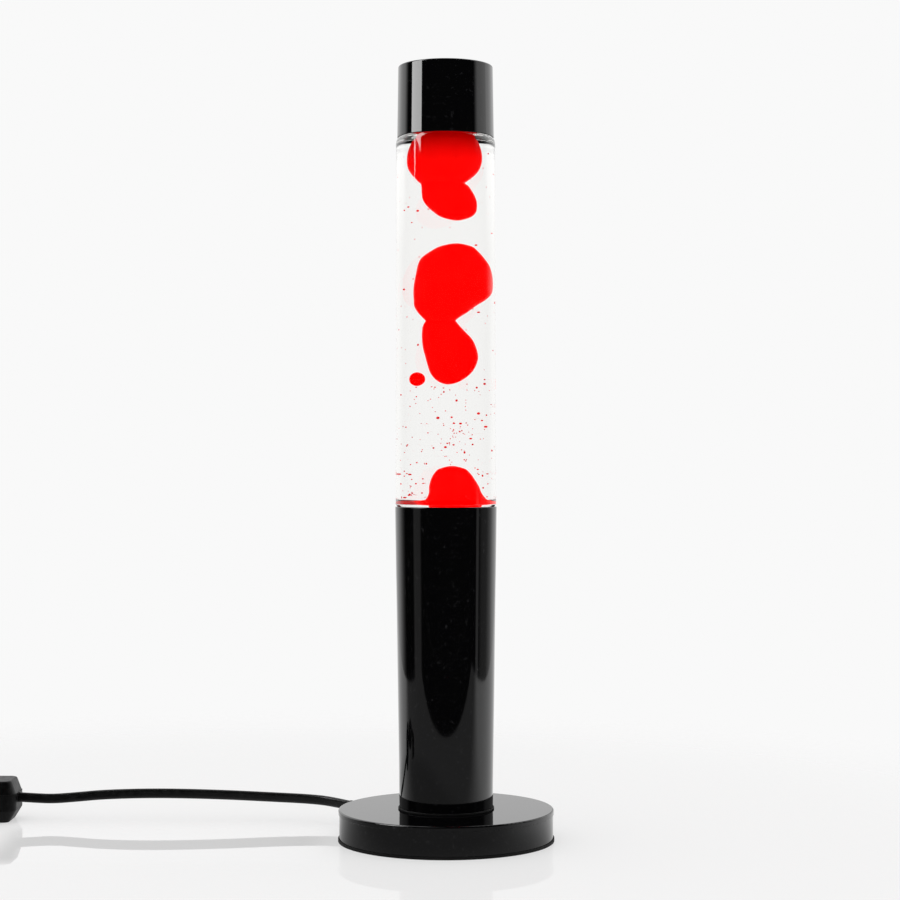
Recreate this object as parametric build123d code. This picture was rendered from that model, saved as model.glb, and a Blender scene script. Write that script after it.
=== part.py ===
from build123d import *

import math
import os

# A small lava lamp. A gloss black disc base carries a slender tapered tube with an E14 reflector
# bulb inside. A glass bottle of clear liquid and red wax plugs into the tube's open top, and a gloss
# black cap drops over the bottle's neck. The mains lead leaves the back of the base, carries an
# in-line rocker switch, and ends in a flat two-pin plug.
#
# Millimetres. The origin is on the table under the lamp's axis, +Z is up, and -Y is the front.

# ------------------------------------------------------------------ driving dimensions
# Disc base
PAD_R, PAD_INNER_R, PAD_H = 55.2, 50.4, 1.4
BASE_TOP = 16.1
RIM_R, RIM_BAND, RIM_ROUND = 55.0, 2.4, 0.8
WALL_R, COVER_WALL, COVER_ROOF = 54.6, 1.6, 2.0
PLATE_R, PLATE_T = 52.6, 1.2
FIXING_CIRCLE_R, FIXING_ANGLES = 46.5, (78, 198, 318)
BOSS_R, SCREW_R, SCREW_HEAD_R = 3.0, 1.25, 2.7
BALLAST_OUT_R, BALLAST_IN_R, BALLAST_H = 42.4, 21.0, 7.0
LEAD_ANGLE, LEAD_Z = 138.0, 9.8

# Tube
FOOT_RING_R, FOOT_RING_H = 24.5, 1.0
TUBE_FOOT_R, TUBE_RIM_R, TUBE_WALL = 23.85, 26.0, 1.2
TUBE_RIM_Z = 170.3
FLANGE_T = 1.5

# Threaded nipple that ties tube, base and lampholder together
NIPPLE_R, NIPPLE_BORE_R = 5.0, 3.6
NIPPLE_BOTTOM_Z, NIPPLE_TOP_Z = 7.2, 60.0
NUT_FLATS, NUT_H, WASHER_R, WASHER_T = 14.0, 4.0, 7.6, 0.8

# E14 lampholder and R39 reflector bulb
HOLDER_R, HOLDER_WALL, HOLDER_BOTTOM_Z, HOLDER_TOP_Z = 13.4, 1.5, 53.0, 95.5
SLEEVE_IN_R, SLEEVE_WALL = 7.2, 0.4
CONTACT_Z = 76.0
BULB_R, BULB_TOP_Z, BULB_NECK_Z, BULB_SKIN = 19.5, 143.0, 98.4, 0.7
THREAD_R, THREAD_DEPTH, THREAD_PITCH, THREAD_TURNS = 6.95, 0.4, 2.82, 6
CAP_SHEET = 1.6

# Bottle
SEAT_Z, SEAT_T, SEAT_HOLE_R, SEAT_LIP_H = 156.0, 4.0, 16.0, 4.0
GLASS_WALL = 2.5
SPIGOT_R, HEEL_Z = 23.0, 171.4
BODY_BOTTOM_R, BODY_TOP_R, SHOULDER_Z = 25.75, 25.35, 354.6
NECK_R, NECK_Z, NECK_TOP_Z, NECK_WALL = 14.0, 364.6, 381.0, 2.4
FILL_Z = 374.0
CLOSURE_WALL, CLOSURE_SKIRT = 1.1, 11.0

# Cap
CAP_Z, CAP_BOTTOM_R, CAP_TOP_R, CAP_TOP_Z = 358.6, 24.75, 24.2, 395.3
CAP_WALL, CAP_ROOF, CAP_ROUND = 1.35, 2.0, 0.8

# Wax
WAX_GAP = 0.3
BEAD_AT, BEAD_R = (-13.0, -12.5, 235.4), 3.5
COIL_WIRE_R, HEAT_COIL_R = 1.5, 15.5

# Mains lead: flat twin cord, as wide as its tube's diameter
CORD_D = 5.2
CORE_D, CORE_STEP = 2.0, 2.6
RELIEF_NECK_R, RELIEF_OUT, RELIEF_IN = 3.4, 14.0, 2.5

# In-line switch, lying along X on the table
SWITCH_AT = (-261.5, 61.0)
SWITCH_L, SWITCH_W, SWITCH_SPLIT_Z, SWITCH_TOP_Z = 62.0, 28.0, 15.3, 22.2
SWITCH_WALL, SWITCH_CORNER, SWITCH_CORD_Z = 1.8, 7.0, 12.3
KEEL_H, KEEL_INSET, SWITCH_TAPER = 6.5, 4.0, 20
ROCKER_L, ROCKER_W, ROCKER_TILT, ROCKER_PIVOT_Z = 18.0, 9.4, 10.0, 15.9
ROCKER_PIN_R = 1.0

# Put-away coil of the lead, and the plug beside it. The plug and its piece of lead are laid out along X,
# then turned about the coil, so that the pins point past the lamp.
COIL_AT = (-356.0, 27.3)
COIL_TURN_OUT_R, COIL_TURN_IN_R, COIL_H = 34.5, 21.5, 10.6
TIE_ANGLE, TIE_W, TIE_T = 205.0, 9.0, 0.8
PLUG_Y, PLUG_T, PLUG_TURN = -5.0, 13.7, -20.0
PLUG_REAR_X, PLUG_FACE_X, PLUG_RELIEF_L = -306.0, -270.0, 12.0
PIN_R, PIN_SLEEVE_R, PIN_L, PIN_TIP_L, PIN_SPACING = 2.0, 1.7, 19.0, 9.0, 19.0

FLOOR_UP = (Align.CENTER, Align.CENTER, Align.MIN)
ALONG = Vector(math.cos(math.radians(LEAD_ANGLE)), math.sin(math.radians(LEAD_ANGLE)), 0)
ACROSS = Vector(-ALONG.Y, ALONG.X, 0)


# ------------------------------------------------------------------ helpers
def turned(*outline):
    """Solid of revolution about Z from (radius, height) corners."""
    face = make_face(Polyline(*outline, close=True))
    return revolve(Plane.XZ * face, axis=Axis.Z)


def disc(radius, bottom, top, at=(0, 0)):
    """Upright cylinder between two heights."""
    return Pos(at[0], at[1], bottom) * Cylinder(radius, top - bottom, align=FLOOR_UP)


def ring(outer, inner, bottom, top, at=(0, 0)):
    """Upright tube between two heights."""
    return disc(outer, bottom, top, at) - disc(inner, bottom - 1, top + 1, at)


def block(low, high):
    """Axis-aligned box between two corners."""
    size = [high[i] - low[i] for i in range(3)]
    middle = [(high[i] + low[i]) / 2 for i in range(3)]
    return Pos(*middle) * Box(*size)


def along_lead(distance, side=0.0, z=LEAD_Z):
    """Point inside the base, measured outwards along the lead's exit direction."""
    return ALONG * distance + ACROSS * side + Vector(0, 0, z)


def outwards(distance):
    """Frame on the lead's exit line, facing outwards, its X level with the table."""
    return Plane(along_lead(distance), x_dir=ACROSS, z_dir=ALONG)


def pan_screw(head_r, head_h, shank_r, length):
    """Cross-slot pan-head screw, head down, shank pointing up from the origin."""
    head = fillet(disc(head_r, -head_h, 0).edges().group_by(Axis.Z)[0], head_h * 0.35)
    slot = Box(head_r * 1.2, 0.6, head_h) + Box(0.6, head_r * 1.2, head_h)
    return head + disc(shank_r, 0, length) - Pos(0, 0, -head_h) * slot


def hex_nut(bottom):
    """M10 nut on the lamp's axis."""
    body = extrude(Pos(0, 0, bottom) * RegularPolygon(NUT_FLATS / 2, 6, major_radius=False), NUT_H)
    return body - disc(NIPPLE_R, bottom - 1, bottom + NUT_H + 1)


def round_tube(points, radii, radius):
    """Round rod along straight runs joined by tangent arcs."""
    path = FilletPolyline(*points, radius=radii)
    section = Plane(origin=path @ 0, z_dir=path % 0) * Circle(radius)
    return sweep(section, path=path), path.length


def cord(points, name):
    """Tube of the mains lead: each arc is as large as its two runs allow."""
    points = [Vector(*point) for point in points]
    radii = []
    for before, corner, after in zip(points, points[1:], points[2:]):
        turn = math.radians((corner - before).get_angle(after - corner))
        run = min((corner - before).length, (after - corner).length)
        radii.append(0.45 * run / math.tan(turn / 2))
    solid, length = round_tube(points, radii, CORD_D / 2)
    ideal = math.pi * (CORD_D / 2) ** 2 * length
    print(name, "length %.1f" % length, "volume/ideal %.4f" % (solid.volume / ideal),
          "radii", [round(radius) for radius in radii])
    return solid


def tube_r(z):
    """Outer radius of the tapered lower tube at a height."""
    foot = BASE_TOP + FOOT_RING_H
    return TUBE_FOOT_R + (TUBE_RIM_R - TUBE_FOOT_R) * (z - foot) / (TUBE_RIM_Z - foot)


# ------------------------------------------------------------------ disc base
def base_pad():
    """Rubber ring that the lamp stands on."""
    return ring(PAD_R, PAD_INNER_R, 0, PAD_H)


def base_cover():
    """Moulded disc, open below, with screw bosses and the lead's outlet."""
    roof = BASE_TOP - COVER_ROOF
    shell = turned(
        (NIPPLE_R + 0.1, BASE_TOP), (RIM_R, BASE_TOP), (RIM_R, BASE_TOP - RIM_BAND),
        (WALL_R, BASE_TOP - RIM_BAND - 0.4), (WALL_R, PAD_H), (WALL_R - COVER_WALL, PAD_H),
        (WALL_R - COVER_WALL, roof), (NIPPLE_R + 0.1, roof))
    rim_edge = shell.edges().group_by(Axis.Z)[-1].sort_by(SortBy.LENGTH)[-1]
    shell = fillet(rim_edge, RIM_ROUND)
    for angle in FIXING_ANGLES:
        at = Vector(FIXING_CIRCLE_R, 0, 0).rotate(Axis.Z, angle)
        shell += disc(BOSS_R, PAD_H + PLATE_T, roof, (at.X, at.Y))
        shell -= disc(SCREW_R, PAD_H, roof - 0.5, (at.X, at.Y))
    for side in (-1, 1):
        at = along_lead(38, side * 7.5)
        shell += disc(2.6, LEAD_Z - 2.6, roof, (at.X, at.Y))
        shell -= disc(SCREW_R, LEAD_Z - 3, roof - 0.5, (at.X, at.Y))
    outlet = outwards(WALL_R) * Cylinder(RELIEF_NECK_R + 0.05, 8)
    return shell - outlet


def base_plate():
    """Sheet steel bottom plate with its screw holes."""
    plate = disc(PLATE_R, PAD_H, PAD_H + PLATE_T)
    for angle in FIXING_ANGLES:
        at = Vector(FIXING_CIRCLE_R, 0, 0).rotate(Axis.Z, angle)
        plate -= disc(SCREW_R + 0.15, 0, PAD_H + PLATE_T + 1, (at.X, at.Y))
    return plate


def base_plate_screws():
    """Three screws that hold the bottom plate to the cover's bosses."""
    screws = []
    for angle in FIXING_ANGLES:
        at = Vector(FIXING_CIRCLE_R, 0, PAD_H).rotate(Axis.Z, angle)
        screws.append(Pos(at) * pan_screw(SCREW_HEAD_R, 1.1, SCREW_R, 8.0))
    return Compound(children=screws)


def ballast_ring():
    """Cast weight on the bottom plate, open where the lead crosses it."""
    bottom = PAD_H + PLATE_T
    weight = ring(BALLAST_OUT_R, BALLAST_IN_R, bottom, bottom + BALLAST_H)
    gap = Plane(along_lead(32, 0, bottom), x_dir=ALONG, z_dir=(0, 0, 1)) * Box(40, 23, 30)
    return weight - gap


def cord_clamp():
    """Bar that pinches the lead against the cover, below it."""
    bar = Box(6, 20, 2.6)
    for side in (-1, 1):
        bar -= Pos(0, side * 7.5, 0) * Cylinder(SCREW_R + 0.15, 6)
    place = Plane(along_lead(38, 0, LEAD_Z - 2.6 - 1.3), x_dir=ALONG, z_dir=(0, 0, 1))
    return place * bar


def cord_clamp_screws():
    """Two screws of the cord clamp."""
    screws = []
    for side in (-1, 1):
        at = along_lead(38, side * 7.5, LEAD_Z - 2.6 - 2.6)
        screws.append(Pos(at) * pan_screw(2.3, 0.9, SCREW_R, 6.5))
    return Compound(children=screws)


def strain_relief():
    """Tapered rubber sleeve of the lead, clipped through the cover's wall."""
    start = WALL_R - COVER_WALL - 0.5
    collar_at = RIM_R + 0.1
    taper_at = collar_at + 1.2
    outside = WALL_R + RELIEF_OUT
    flange = outwards(start - RELIEF_IN) * extrude(Rectangle(12.0, 6.6), RELIEF_IN)
    neck = outwards(start) * Cylinder(RELIEF_NECK_R, collar_at - start, align=FLOOR_UP)
    collar = outwards(collar_at) * Cylinder(RELIEF_NECK_R + 0.7, taper_at - collar_at, align=FLOOR_UP)
    taper = outwards(taper_at) * Cone(
        RELIEF_NECK_R, CORD_D / 2 + 0.3, outside - taper_at, align=FLOOR_UP)
    bore = outwards(start - RELIEF_IN - 1) * Cylinder(CORD_D / 2, RELIEF_OUT + 20, align=FLOOR_UP)
    return flange + neck + collar + taper - bore


def inner_cord():
    """Sheathed end of the lead, from the strain relief's end to the clamp."""
    start, end = 26.0, WALL_R + RELIEF_OUT - 0.6
    return outwards(start) * Cylinder(CORD_D / 2, end - start, align=FLOOR_UP)


def core_wires():
    """The lead's two insulated cores, up through the nipple to the lampholder."""
    wires = []
    for side in (-1, 1):
        offset = side * CORE_STEP / 2
        points = [along_lead(26, offset), along_lead(22, offset), along_lead(13, offset, 5.0),
                  along_lead(0, offset, 5.0), along_lead(0, offset, HOLDER_BOTTOM_Z + 8.0)]
        wires.append(round_tube(points, [4.0, 4.0, 4.5], CORE_D / 2)[0])
    return Compound(children=wires)


# ------------------------------------------------------------------ tube and its fixings
def tube_foot_ring():
    """Thin spacer disc between the base and the tube."""
    return ring(FOOT_RING_R, NIPPLE_R + 0.1, BASE_TOP, BASE_TOP + FOOT_RING_H)


def lower_tube():
    """Tapered tube with an inward flange at its foot and a rolled rim."""
    foot = BASE_TOP + FOOT_RING_H
    tube = turned(
        (NIPPLE_R + 0.1, foot), (TUBE_FOOT_R, foot), (TUBE_RIM_R, TUBE_RIM_Z),
        (TUBE_RIM_R - TUBE_WALL, TUBE_RIM_Z), (TUBE_FOOT_R - TUBE_WALL, foot + FLANGE_T),
        (NIPPLE_R + 0.1, foot + FLANGE_T))
    return fillet(tube.edges().group_by(Axis.Z)[-1], 0.5)


def nipple():
    """Hollow threaded rod on the axis."""
    rod = ring(NIPPLE_R, NIPPLE_BORE_R, NIPPLE_BOTTOM_Z, NIPPLE_TOP_Z)
    return chamfer(rod.edges().filter_by(GeomType.CIRCLE).sort_by(SortBy.RADIUS)[-2:], 0.5)


def nipple_nuts():
    """Nuts above the tube's flange and below the base's roof."""
    upper = BASE_TOP + FOOT_RING_H + FLANGE_T
    lower = BASE_TOP - COVER_ROOF - WASHER_T - NUT_H
    return Compound(children=[hex_nut(upper), hex_nut(lower)])


def lock_washer():
    """Washer between the lower nut and the base's roof."""
    top = BASE_TOP - COVER_ROOF
    return ring(WASHER_R, NIPPLE_R + 0.05, top - WASHER_T, top)


def bottle_seat():
    """Ring wedged in the tube's taper: the bottle stands on it, and light and heat rise through it."""
    bottom = SEAT_Z - SEAT_T
    lip_top = SEAT_Z + SEAT_LIP_H
    clear = TUBE_WALL + 0.05
    seat = turned(
        (SEAT_HOLE_R, bottom + 1.2), (tube_r(bottom) - clear, bottom),
        (tube_r(lip_top) - clear, lip_top), (SPIGOT_R + 0.3, lip_top),
        (SPIGOT_R + 0.3, SEAT_Z), (SEAT_HOLE_R, SEAT_Z))
    vent = Pos(20.5, 0, SEAT_Z) * Box(3.0, 6.0, 30)
    for angle in (0, 90, 180, 270):
        seat -= Rot(0, 0, angle + 45) * vent
    return seat


# ------------------------------------------------------------------ lampholder
def holder_shell():
    """Outer shell of the E14 lampholder, screwed on the nipple."""
    floor = HOLDER_BOTTOM_Z + 3.0
    shell = turned(
        (NIPPLE_R + 0.02, HOLDER_BOTTOM_Z), (HOLDER_R - 3.5, HOLDER_BOTTOM_Z),
        (HOLDER_R, HOLDER_BOTTOM_Z + 5.0), (HOLDER_R, HOLDER_TOP_Z),
        (HOLDER_R - HOLDER_WALL, HOLDER_TOP_Z), (HOLDER_R - HOLDER_WALL, HOLDER_BOTTOM_Z + 5.0),
        (HOLDER_R - 4.0, floor), (NIPPLE_R + 0.02, floor))
    return fillet(shell.edges().group_by(Axis.Z)[-1], 0.5)


def holder_core():
    """Insulating core that carries the terminals and the threaded sleeve."""
    core_r = HOLDER_R - HOLDER_WALL - 0.1
    core = disc(core_r, NIPPLE_TOP_Z + 1.0, CONTACT_Z - 1.0)
    core += ring(SLEEVE_IN_R + SLEEVE_WALL + 1.6, SLEEVE_IN_R + SLEEVE_WALL,
                 CONTACT_Z - 1.0, HOLDER_TOP_Z - 1.0)
    for side in (-1, 1):
        at = along_lead(0, side * CORE_STEP / 2)
        core -= disc(CORE_D / 2, NIPPLE_TOP_Z, NIPPLE_TOP_Z + 8, (at.X, at.Y))
        screw_at = along_lead(0, side * 8.0)
        core -= disc(1.5, CONTACT_Z - 7.0, CONTACT_Z, (screw_at.X, screw_at.Y))
    core -= disc(2.0, CONTACT_Z - 2.4, CONTACT_Z)
    return core


def holder_thread_sleeve():
    """Rolled brass sleeve that the bulb screws into."""
    return ring(SLEEVE_IN_R + SLEEVE_WALL, SLEEVE_IN_R, CONTACT_Z + 0.8, HOLDER_TOP_Z - 1.5)


def holder_centre_contact():
    """Brass contact button with its stem, under the bulb's tip."""
    return disc(4.0, CONTACT_Z - 1.0, CONTACT_Z - 0.3) + disc(2.0, CONTACT_Z - 2.4, CONTACT_Z - 1.0)


def holder_terminal_screws():
    """Two terminal screws, reached from above before the bulb goes in."""
    screws = []
    for side in (-1, 1):
        at = along_lead(0, side * 8.0, CONTACT_Z - 1.0)
        screws.append(Pos(at) * Rot(180, 0, 0) * pan_screw(1.45, 0.9, 1.4, 6.0))
    return Compound(children=screws)


# ------------------------------------------------------------------ bulb
def bulb_screw_cap():
    """Nickelled E14 cap with its rolled thread."""
    bottom = CONTACT_Z + 1.4
    outline = [(THREAD_R - CAP_SHEET, bottom), (THREAD_R - THREAD_DEPTH - 0.4, bottom)]
    z = bottom + 0.8
    for _ in range(THREAD_TURNS):
        outline += [(THREAD_R - THREAD_DEPTH, z), (THREAD_R, z + THREAD_PITCH * 0.35),
                    (THREAD_R, z + THREAD_PITCH * 0.65)]
        z += THREAD_PITCH
    outline += [(THREAD_R - THREAD_DEPTH, z), (8.6, BULB_NECK_Z - 1.2), (8.6, BULB_NECK_Z),
                (7.0, BULB_NECK_Z), (THREAD_R - CAP_SHEET, z)]
    return turned(*outline)


def bulb_tip_insulator():
    """Black glass insulator at the cap's end."""
    bottom = CONTACT_Z + 0.5
    outer = THREAD_R - CAP_SHEET
    return turned((2.4, bottom), (2.6, bottom), (outer, CONTACT_Z + 1.4), (outer, CONTACT_Z + 3.4),
                  (2.4, CONTACT_Z + 3.4))


def bulb_contact():
    """Solder contact at the cap's tip."""
    return disc(2.4, CONTACT_Z, CONTACT_Z + 3.0)


def bulb_side(inset):
    """Corners of the envelope's side from its neck to its crown, moved inwards by a wall."""
    return [(7.9 - inset, BULB_NECK_Z + inset), (8.6 - inset, BULB_NECK_Z + 5.6),
            (BULB_R - inset, BULB_TOP_Z - 14.0), (BULB_R - inset, BULB_TOP_Z - 9.0)]


def bulb_dome(inset):
    """Spherical arc of the envelope's front, from its crown to the axis."""
    crown_r, crown_z = bulb_side(inset)[-1]
    rise = BULB_TOP_Z - inset - crown_z
    dome_r = (crown_r ** 2 + rise ** 2) / (2 * rise)
    brow_r = crown_r * 0.6
    brow_z = BULB_TOP_Z - inset - dome_r + math.sqrt(dome_r ** 2 - brow_r ** 2)
    return ThreePointArc((crown_r, crown_z), (brow_r, brow_z), (0, BULB_TOP_Z - inset))


def bulb_glass():
    """Mushroom-shaped reflector envelope with a domed front."""
    floor = (0, BULB_NECK_Z)
    outside = Polyline(floor, *bulb_side(0))
    tip = Line((0, BULB_TOP_Z), (0, BULB_TOP_Z - BULB_SKIN))
    inside = Polyline(*reversed(bulb_side(BULB_SKIN)), (0, BULB_NECK_Z + BULB_SKIN), floor)
    wall = make_face(outside + bulb_dome(0) + tip + bulb_dome(BULB_SKIN) + inside)
    return revolve(Plane.XZ * wall, axis=Axis.Z)


def bulb_stem():
    """Glass stem inside the envelope."""
    foot = BULB_NECK_Z + BULB_SKIN
    return disc(3.0, foot, 108.0) + Pos(0, 0, 108) * Cone(3.0, 1.6, 5.0, align=FLOOR_UP)


def filament_supports():
    """Two stiff wires that hold the filament."""
    wires = []
    for side in (-1, 1):
        points = [(side * 1.0, 0, 113.0), (side * 1.0, 0, 115.0), (side * 6.0, 0, 122.0)]
        wires.append(round_tube(points, [1.5], 0.35)[0])
    return Compound(children=wires)


def filament():
    """Bowed tungsten coil between the supports."""
    arc = ThreePointArc((-6.0, 0, 122.35), (0, -3.5, 123.2), (6.0, 0, 122.35))
    return sweep(Plane(origin=arc @ 0, z_dir=arc % 0) * Circle(0.35), path=arc)


# ------------------------------------------------------------------ bottle
def glass_bottle():
    """Cylindrical bottle with a reduced foot that plugs into the tube."""
    outside = [(0, SEAT_Z + 2.0), (15.5, SEAT_Z + 2.0), (18.0, SEAT_Z), (SPIGOT_R - 1.5, SEAT_Z),
               (SPIGOT_R, SEAT_Z + 1.5), (SPIGOT_R, HEEL_Z - 2.8), (BODY_BOTTOM_R - 0.7, HEEL_Z - 0.8),
               (BODY_BOTTOM_R, HEEL_Z)]
    line = Polyline(*outside, (BODY_TOP_R, SHOULDER_Z))
    shoulder = ThreePointArc((BODY_TOP_R, SHOULDER_Z), (24.75, SHOULDER_Z + 2.3),
                             (23.2, SHOULDER_Z + 3.8))
    neck = Polyline((23.2, SHOULDER_Z + 3.8), (NECK_R + 1.2, NECK_Z - 1.4), (NECK_R, NECK_Z),
                    (NECK_R, NECK_TOP_Z), (0, NECK_TOP_Z), outside[0])
    solid = revolve(Plane.XZ * make_face(line + shoulder + neck), axis=Axis.Z)
    return solid - bottle_inside(NECK_TOP_Z + 1)


def bottle_inside(top):
    """The bottle's inner space up to a level in its neck."""
    floor = SEAT_Z + 2.0 + GLASS_WALL
    bore = NECK_R - NECK_WALL
    inner = BODY_TOP_R - GLASS_WALL
    line = Polyline((0, floor), (SPIGOT_R - GLASS_WALL - 2.0, floor), (SPIGOT_R - GLASS_WALL, floor + 2),
                    (SPIGOT_R - GLASS_WALL, HEEL_Z - 1.0), (BODY_BOTTOM_R - GLASS_WALL, HEEL_Z + 2.4),
                    (inner, SHOULDER_Z - 1.0))
    shoulder = ThreePointArc((inner, SHOULDER_Z - 1.0), (inner - 0.9, SHOULDER_Z + 1.0),
                             (inner - 2.8, SHOULDER_Z + 2.0))
    neck = Polyline((inner - 2.8, SHOULDER_Z + 2.0), (bore + 1.5, NECK_Z - 3.4), (bore, NECK_Z - 1.8),
                    (bore, top), (0, top), (0, floor))
    return revolve(Plane.XZ * make_face(line + shoulder + neck), axis=Axis.Z)


def bottle_closure():
    """Sheet metal screw closure on the neck."""
    top = NECK_TOP_Z + 1.0
    closure = disc(NECK_R + 0.1 + CLOSURE_WALL, top - CLOSURE_SKIRT, top + CLOSURE_WALL)
    closure -= disc(NECK_R + 0.1, top - CLOSURE_SKIRT - 1, top)
    return fillet(closure.edges().group_by(Axis.Z)[-1], 0.8)


def closure_liner():
    """Sealing disc inside the closure."""
    return disc(NECK_R, NECK_TOP_Z, NECK_TOP_Z + 1.0)


def heat_coil():
    """Metal coil ring at the bottle's bottom, which carries heat into the wax."""
    return Pos(0, 0, SEAT_Z + 2.0 + GLASS_WALL + COIL_WIRE_R + 0.2) * Torus(HEAT_COIL_R, COIL_WIRE_R)


def wax_outline(profile, lean):
    """Turned wax body from (radius, height) points, on an axis that leans off centre."""
    curve = Spline(*profile)
    closing = Polyline(profile[-1], profile[0])
    return Pos(lean[0], lean[1], 0) * revolve(Plane.XZ * make_face(curve + closing), axis=Axis.Z)


def wax_top():
    """Wax gathered under the neck, pinched once on its way down."""
    profile = [(0, 316.8), (6.5, 319.0), (10.4, 326.5), (8.3, 334.0), (14.2, 347.0), (11.0, 359.0),
               (7.0, 366.0), (0, 368.0)]
    return wax_outline(profile, (0.4, 0))


def wax_middle(gap=0.0):
    """Rising wax body: a large lobe above a smaller one."""
    profile = [(0, 232.4 - gap), (7.0 + gap, 235.2 - gap), (10.6 + gap, 245.5), (6.0 + gap, 261.5),
               (14.6 + gap, 281.0), (9.6 + gap, 299.0), (0, 304.2 + gap)]
    return wax_outline(profile, (2.6, 0))


def wax_bead(gap=0.0):
    """Loose bead of wax near the front wall."""
    return Pos(*BEAD_AT) * Sphere(BEAD_R + gap)


def wax_pool():
    """Molten wax at the bottom, rising into a mound, around the heat coil."""
    profile = [(20.6, 172.0), (14.5, 173.5), (11.0, 183.0), (5.0, 190.0), (0, 191.0)]
    curve = Spline(*profile)
    closing = Polyline(profile[-1], (0, 150.0), (20.6, 150.0), profile[0])
    mound = Pos(2.0, 0, 0) * revolve(Plane.XZ * make_face(curve + closing), axis=Axis.Z)
    low = disc(30, 150, 172.2)
    return (mound + low) & bottle_inside(FILL_Z) - heat_coil()


def liquid():
    """Clear liquid around the wax, with a small gap where the wax drifts."""
    return (bottle_inside(FILL_Z) - wax_top() - wax_pool() - heat_coil()
            - wax_middle(WAX_GAP) - wax_bead(WAX_GAP))


# ------------------------------------------------------------------ cap
def top_cap():
    """Deep gloss cap that rests on the bottle's shoulder."""
    cap = turned(
        (0, CAP_TOP_Z), (CAP_TOP_R, CAP_TOP_Z), (CAP_BOTTOM_R, CAP_Z), (CAP_BOTTOM_R - CAP_WALL, CAP_Z),
        (CAP_TOP_R - CAP_WALL, CAP_TOP_Z - CAP_ROOF), (0, CAP_TOP_Z - CAP_ROOF))
    return fillet(cap.edges().group_by(Axis.Z)[-1], CAP_ROUND)


# ------------------------------------------------------------------ mains lead
def lead_exit():
    """Point where the lead leaves its strain relief."""
    return along_lead(WALL_R + RELIEF_OUT)


CORD_BASE_SIDE_ROUTE = [
    tuple(lead_exit()), (-61.0, 54.9, 10.6), (-73.2, 59.3, 11.3), (-92.0, 61.0, 12.0),
    (-122.0, 61.8, 13.4), (-156.0, 62.0, 14.2), (-184.0, 61.6, 13.6), (-200.0, 61.3, 12.2),
    (-212.0, 61.1, 11.3), (-221.5, 61.0, 11.7), (SWITCH_AT[0] + SWITCH_L / 2, 61.0, SWITCH_CORD_Z)]

CORD_SWITCH_SIDE_ROUTE = [
    (SWITCH_AT[0] - SWITCH_L / 2, 61.0, SWITCH_CORD_Z), (-304.0, 61.2, 11.7), (-316.0, 61.6, 8.8),
    (-329.0, 62.0, 4.6), (-342.0, 62.0, 2.75), (-354.0, 61.8, 2.65)]

# The plug's side, before its turn about the coil
CORD_PLUG_SIDE_ROUTE = [
    (-353.0, -5.3, 7.9), (-341.0, -5.4, 7.9), (-329.0, -5.2, 7.2),
    (PLUG_REAR_X - PLUG_RELIEF_L - 0.3, PLUG_Y, PLUG_T / 2)]


def cord_base_side():
    """Lead from the base to the switch, held at both ends."""
    return cord(CORD_BASE_SIDE_ROUTE, "cord_base_side")


def cord_switch_side():
    """Lead from the switch down to the table and into the coil."""
    return cord(CORD_SWITCH_SIDE_ROUTE, "cord_switch_side")


def turned_about_coil(shape):
    """Shape on the plug's side, turned about the coil to where it lies."""
    centre = Pos(COIL_AT[0], COIL_AT[1], 0)
    return centre * Rot(0, 0, PLUG_TURN) * centre.inverse() * shape


def cord_plug_side():
    """Lead from the coil to the plug."""
    return turned_about_coil(cord(CORD_PLUG_SIDE_ROUTE, "cord_plug_side"))


def tie_place():
    """Frame across the coil's section, where the tie goes round it."""
    middle = (COIL_TURN_OUT_R + COIL_TURN_IN_R) / 2
    outward = Vector(1, 0, 0).rotate(Axis.Z, TIE_ANGLE)
    origin = Vector(COIL_AT[0], COIL_AT[1], COIL_H / 2) + outward * middle
    return Plane(origin, x_dir=outward, z_dir=outward.cross(Vector(0, 0, 1)))


def coil_tie():
    """Strap round the coil's turns."""
    width = COIL_TURN_OUT_R - COIL_TURN_IN_R + CORD_D
    strap = Box(width + 0.4, COIL_H, TIE_W) - Box(width + 0.4 - 2 * TIE_T, COIL_H - 2 * TIE_T, TIE_W + 1)
    return tie_place() * strap


def cord_coil():
    """Outer shape of the coil's turns, waisted under its tie."""
    outer, inner = COIL_TURN_OUT_R + CORD_D / 2, COIL_TURN_IN_R - CORD_D / 2
    coil = ring(outer, inner, 0, COIL_H, COIL_AT)
    coil = fillet(coil.edges().filter_by(GeomType.CIRCLE), 2.0)
    width = outer - inner
    sheath = Box(width + 6, COIL_H + 6, TIE_W)
    sheath -= Box(width + 0.4 - 2 * TIE_T, COIL_H - 2 * TIE_T, TIE_W + 1)
    return coil - tie_place() * sheath


# ------------------------------------------------------------------ in-line switch
def switch_outline(inset, z):
    """Rounded plan of the switch at a height."""
    plan = RectangleRounded(SWITCH_L - 2 * inset, SWITCH_W - 2 * inset, SWITCH_CORNER - inset)
    return Pos(SWITCH_AT[0], SWITCH_AT[1], z) * plan


SWITCH_SCREW_PLACES = ((21.0, 6.6), (-21.0, -6.6))


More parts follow.
